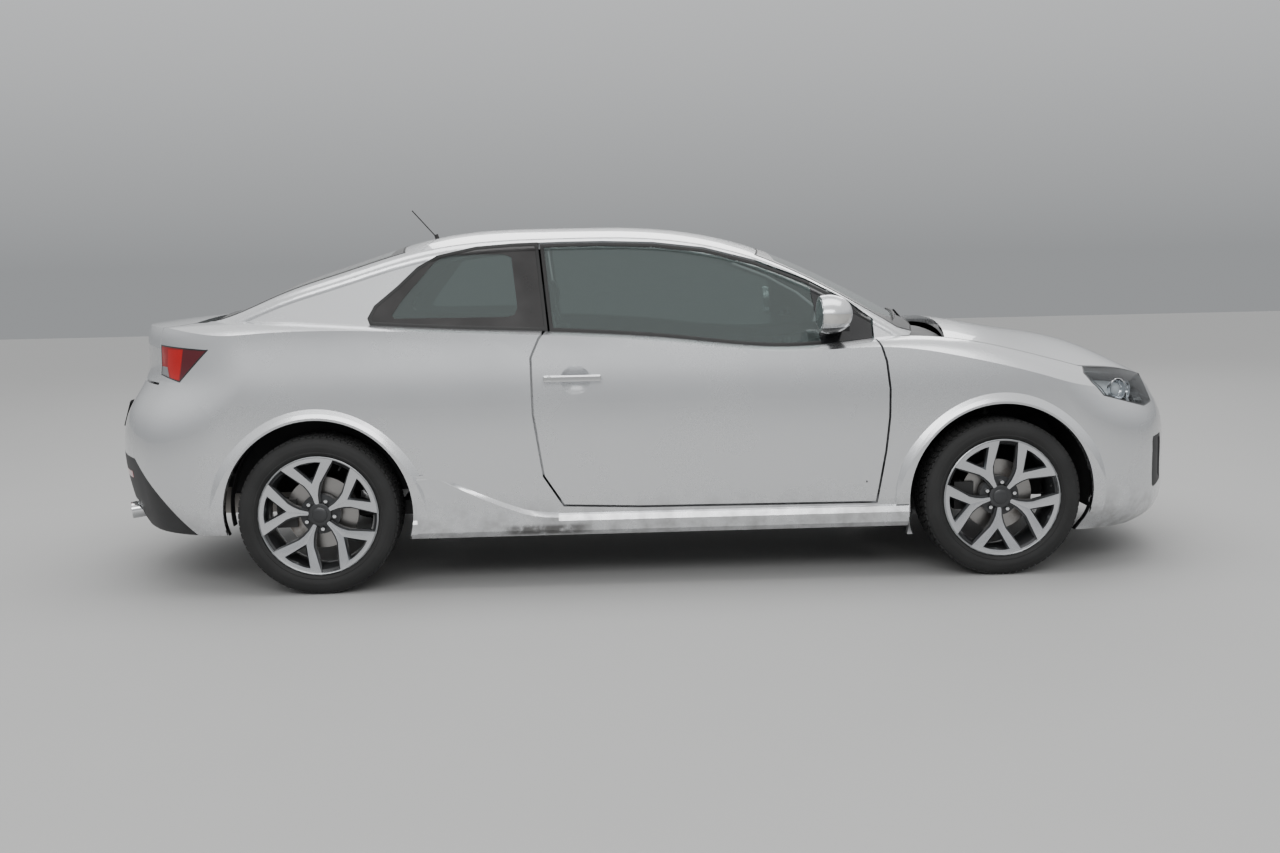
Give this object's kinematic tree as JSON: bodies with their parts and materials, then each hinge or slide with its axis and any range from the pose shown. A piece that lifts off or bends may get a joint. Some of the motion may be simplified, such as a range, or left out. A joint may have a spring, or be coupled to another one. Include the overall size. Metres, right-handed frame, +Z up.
{
  "type": "two-door coupe car",
  "caption": "Compact two-door coupe car with opening doors, hood and trunk, steering front wheels, glazed cabin and alloy wheels.",
  "frame": {"origin": "on the ground under the middle of the car's length, on its centre plane", "axes": "+X towards the front of the car, +Y to its left, +Z up"},
  "size_m": [4.4855, 1.9704, 1.4915],
  "materials": {
    "alloy": "machined faces with dark pockets",
    "black_plastic": "grained black",
    "black_rubber": "satin black",
    "body_paint": "light silver metallic paint",
    "cast_metal": "as cast",
    "chassis_black": "satin black",
    "chrome_trim": "bright",
    "clear_lens": "clear lens over a bright housing",
    "disc_iron": "turned",
    "mirror_shell": "painted to match the body",
    "red_lens": "red lens",
    "seat_cloth": "dark woven cloth",
    "steel": "bare steel",
    "tyre_rubber": "black rubber",
    "underbody": "dark underseal",
    "window_glass": "lightly tinted glass"
  },
  "bodies": {
    "body": {"antenna": "black_rubber", "bumper_inserts": "black_plastic", "cowl": "black_plastic", "dashboard": "black_plastic", "engine_block": "cast_metal", "exhaust": "steel", "fixed_windows": "window_glass", "floor_pan": "underbody", "front_bumper": "body_paint", "front_fender_left": "body_paint", "front_fender_right": "body_paint", "front_subframe": "chassis_black", "headlamps": "clear_lens", "parcel_shelf": "black_plastic", "rear_axle_beam": "chassis_black", "rear_bumper": "body_paint", "roof_panel": "body_paint", "seats": "seat_cloth", "side_panel_left": "body_paint", "side_panel_right": "body_paint", "steering_wheel": "black_plastic", "tail_lamps": "red_lens"},
    "door_left": {"door_left": "body_paint", "door_glass_left": "window_glass", "mirror_left": "mirror_shell", "door_handle_left": "chrome_trim"},
    "knuckle_left": {"knuckle_left": "chassis_black"},
    "wheel_front_left": {"tyre_front_left": "tyre_rubber", "rim_front_left": "alloy", "brake_disc_front_left": "disc_iron"},
    "wheel_rear_left": {"tyre_rear_left": "tyre_rubber", "rim_rear_left": "alloy", "brake_disc_rear_left": "disc_iron"},
    "door_right": {"door_right": "body_paint", "door_glass_right": "window_glass", "mirror_right": "mirror_shell", "door_handle_right": "chrome_trim"},
    "knuckle_right": {"knuckle_right": "chassis_black"},
    "wheel_front_right": {"tyre_front_right": "tyre_rubber", "rim_front_right": "alloy", "brake_disc_front_right": "disc_iron"},
    "wheel_rear_right": {"tyre_rear_right": "tyre_rubber", "rim_rear_right": "alloy", "brake_disc_rear_right": "disc_iron"},
    "hood": {"hood": "body_paint"},
    "trunk_lid": {"trunk_lid": "body_paint"}
  },
  "joints": [
    {"name": "steer_left", "type": "hinge", "parent": "body", "child": "knuckle_left", "pos_m": [1.35, 0.722, 0.205], "axis": [0, -0.2162, 0.9763], "range_deg": [-32, 32]},
    {"name": "wheel_front_left_spin", "type": "hinge", "parent": "knuckle_left", "child": "wheel_front_left", "pos_m": [1.35, 0.7715, 0.308], "axis": [0, 1, 0], "continuous": true},
    {"name": "wheel_rear_left_spin", "type": "hinge", "parent": "body", "child": "wheel_rear_left", "pos_m": [-1.3, 0.7715, 0.308], "axis": [0, 1, 0], "continuous": true},
    {"name": "door_left_hinge", "type": "hinge", "parent": "body", "child": "door_left", "pos_m": [0.82, 0.845, 0.6], "axis": [0, 0, -1], "range_deg": [0, 65]},
    {"name": "steer_right", "type": "hinge", "parent": "body", "child": "knuckle_right", "pos_m": [1.35, -0.722, 0.205], "axis": [0, 0.2162, 0.9763], "range_deg": [-32, 32]},
    {"name": "wheel_front_right_spin", "type": "hinge", "parent": "knuckle_right", "child": "wheel_front_right", "pos_m": [1.35, -0.7715, 0.308], "axis": [0, 1, 0], "continuous": true},
    {"name": "wheel_rear_right_spin", "type": "hinge", "parent": "body", "child": "wheel_rear_right", "pos_m": [-1.3, -0.7715, 0.308], "axis": [0, 1, 0], "continuous": true},
    {"name": "door_right_hinge", "type": "hinge", "parent": "body", "child": "door_right", "pos_m": [0.82, -0.845, 0.6], "axis": [0, 0, 1], "range_deg": [0, 65]},
    {"name": "hood_hinge", "type": "hinge", "parent": "body", "child": "hood", "pos_m": [1.15, 0, 0.905], "axis": [0, -1, 0], "range_deg": [0, 55]},
    {"name": "trunk_hinge", "type": "hinge", "parent": "body", "child": "trunk_lid", "pos_m": [-1.79, 0, 1.03], "axis": [0, 1, 0], "range_deg": [0, 70]}
  ],
  "couplings": [
    {"joint": "steer_right", "follows": "steer_left", "ratio": 1}
  ]
}
